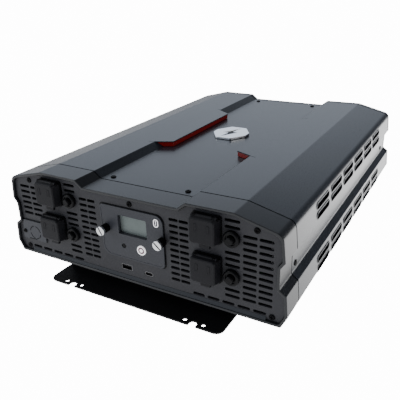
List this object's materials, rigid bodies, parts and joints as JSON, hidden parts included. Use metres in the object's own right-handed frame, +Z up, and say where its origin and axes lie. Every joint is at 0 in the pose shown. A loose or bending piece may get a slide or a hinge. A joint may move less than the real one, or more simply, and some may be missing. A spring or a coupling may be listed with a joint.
{
  "type": "power inverter",
  "caption": "Bench power inverter with vented end panels, flip-lid outlets, reset breakers, a pull-out display and mounting brackets.",
  "frame": {"origin": "under the middle of the body, on the plane that the two brackets stand on", "axes": "+Y from the outlet face to the rear, +Z up, +X to the right of someone facing the outlets"},
  "size_m": [0.3434, 0.4904, 0.1262],
  "materials": {
    "coated_metal": "satin dark powder coat",
    "cap_plastic": "fine moulded texture",
    "red_lens": "translucent red",
    "chrome": "polished",
    "black_plastic": "moulded black",
    "clear_cap": "smoky clear",
    "grey_plastic": "smooth moulded",
    "pale_glass": "clear over a grey-green display",
    "board_green": "solder mask",
    "white_plastic": "gloss",
    "bright_steel": "nickel plated",
    "black_steel": "black coat",
    "aluminium": "extruded",
    "red_plastic": "moulded red",
    "copper": "bare copper",
    "coil_iron": "varnished laminations and windings",
    "sleeve": "shrink sleeve"
  },
  "bodies": {
    "case": {"top_cover": "coated_metal", "base_pan": "coated_metal", "front_cap": "cap_plastic", "rear_cap": "cap_plastic", "front_panel": "cap_plastic", "rear_panel": "cap_plastic", "left_trim": "red_lens", "right_trim": "red_lens", "badge": "chrome", "outlet_left_upper": "black_plastic", "breaker_left_upper": "black_plastic", "outlet_left_lower": "black_plastic", "breaker_left_lower": "black_plastic", "outlet_right_upper": "black_plastic", "breaker_right_upper": "black_plastic", "outlet_right_lower": "black_plastic", "breaker_right_lower": "black_plastic", "wiring_cover": "grey_plastic", "main_board": "board_green", "wiring_block": "black_plastic", "remote_port": "black_plastic", "usb_a_port": "bright_steel", "usb_c_port": "bright_steel", "positive_terminal": "bright_steel", "negative_terminal": "bright_steel", "ground_stud": "bright_steel", "front_bracket": "black_steel", "rear_bracket": "black_steel", "fan_frame_left": "black_plastic", "fan_guard_left": "bright_steel", "heat_sink_left": "aluminium", "fan_frame_right": "black_plastic", "fan_guard_right": "bright_steel", "heat_sink_right": "aluminium", "positive_bus_bar": "copper", "negative_bus_bar": "copper", "front_transformer": "coil_iron", "rear_transformer": "coil_iron", "front_capacitor": "sleeve", "rear_capacitor": "sleeve"},
    "lid_left_upper": {"outlet_lid_left_upper": "black_plastic"},
    "lid_left_lower": {"outlet_lid_left_lower": "black_plastic"},
    "lid_right_upper": {"outlet_lid_right_upper": "black_plastic"},
    "lid_right_lower": {"outlet_lid_right_lower": "black_plastic"},
    "reset_left_upper": {"breaker_button_left_upper": "clear_cap"},
    "reset_left_lower": {"breaker_button_left_lower": "clear_cap"},
    "reset_right_upper": {"breaker_button_right_upper": "clear_cap"},
    "reset_right_lower": {"breaker_button_right_lower": "clear_cap"},
    "display_remote": {"display_housing": "grey_plastic", "display_window": "pale_glass", "display_board": "board_green", "status_lens": "black_plastic"},
    "power_key": {"power_button": "white_plastic"},
    "thumb_left": {"thumbscrew_left": "bright_steel"},
    "thumb_right": {"thumbscrew_right": "bright_steel"},
    "fan_left": {"fan_rotor_left": "black_plastic"},
    "fan_right": {"fan_rotor_right": "black_plastic"},
    "knob_positive": {"positive_knob": "red_plastic"},
    "knob_negative": {"negative_knob": "black_plastic"}
  },
  "joints": [
    {"name": "lid_hinge_left_upper", "type": "hinge", "parent": "case", "child": "lid_left_upper", "pos_m": [-0.106, -0.2326, 0.11715], "axis": [-1, 0, 0], "range_deg": [0, 90]},
    {"name": "lid_hinge_left_lower", "type": "hinge", "parent": "case", "child": "lid_left_lower", "pos_m": [-0.106, -0.2326, 0.07525], "axis": [-1, 0, 0], "range_deg": [0, 90]},
    {"name": "lid_hinge_right_upper", "type": "hinge", "parent": "case", "child": "lid_right_upper", "pos_m": [0.089, -0.2326, 0.11715], "axis": [-1, 0, 0], "range_deg": [0, 90]},
    {"name": "lid_hinge_right_lower", "type": "hinge", "parent": "case", "child": "lid_right_lower", "pos_m": [0.089, -0.2326, 0.07525], "axis": [-1, 0, 0], "range_deg": [0, 90]},
    {"name": "reset_push_left_upper", "type": "slide", "parent": "case", "child": "reset_left_upper", "axis": [0, 1, 0], "range_m": [0, 0.002], "stiffness_N_per_m": 600},
    {"name": "reset_push_left_lower", "type": "slide", "parent": "case", "child": "reset_left_lower", "axis": [0, 1, 0], "range_m": [0, 0.002], "stiffness_N_per_m": 600},
    {"name": "reset_push_right_upper", "type": "slide", "parent": "case", "child": "reset_right_upper", "axis": [0, 1, 0], "range_m": [0, 0.002], "stiffness_N_per_m": 600},
    {"name": "reset_push_right_lower", "type": "slide", "parent": "case", "child": "reset_right_lower", "axis": [0, 1, 0], "range_m": [0, 0.002], "stiffness_N_per_m": 600},
    {"name": "remote_pull_out", "type": "slide", "parent": "case", "child": "display_remote", "axis": [0, -1, 0], "range_m": [0, 0.03]},
    {"name": "power_push", "type": "slide", "parent": "display_remote", "child": "power_key", "axis": [0, 1, 0], "range_m": [0, 0.001], "stiffness_N_per_m": 400},
    {"name": "thumb_turn_left", "type": "hinge", "parent": "display_remote", "child": "thumb_left", "pos_m": [-0.0308, -0.225, 0.0785], "axis": [0, 1, 0], "continuous": true},
    {"name": "thumb_turn_right", "type": "hinge", "parent": "display_remote", "child": "thumb_right", "pos_m": [0.0396, -0.225, 0.0785], "axis": [0, 1, 0], "continuous": true},
    {"name": "fan_spin_left", "type": "hinge", "parent": "case", "child": "fan_left", "pos_m": [-0.1, 0.211, 0.0645], "axis": [0, 1, 0], "continuous": true},
    {"name": "fan_spin_right", "type": "hinge", "parent": "case", "child": "fan_right", "pos_m": [0.1, 0.211, 0.0645], "axis": [0, 1, 0], "continuous": true},
    {"name": "knob_turn_positive", "type": "hinge", "parent": "case", "child": "knob_positive", "pos_m": [-0.027, 0.237, 0.0625], "axis": [0, 1, 0], "continuous": true},
    {"name": "knob_turn_negative", "type": "hinge", "parent": "case", "child": "knob_negative", "pos_m": [0.027, 0.237, 0.0625], "axis": [0, 1, 0], "continuous": true}
  ]
}
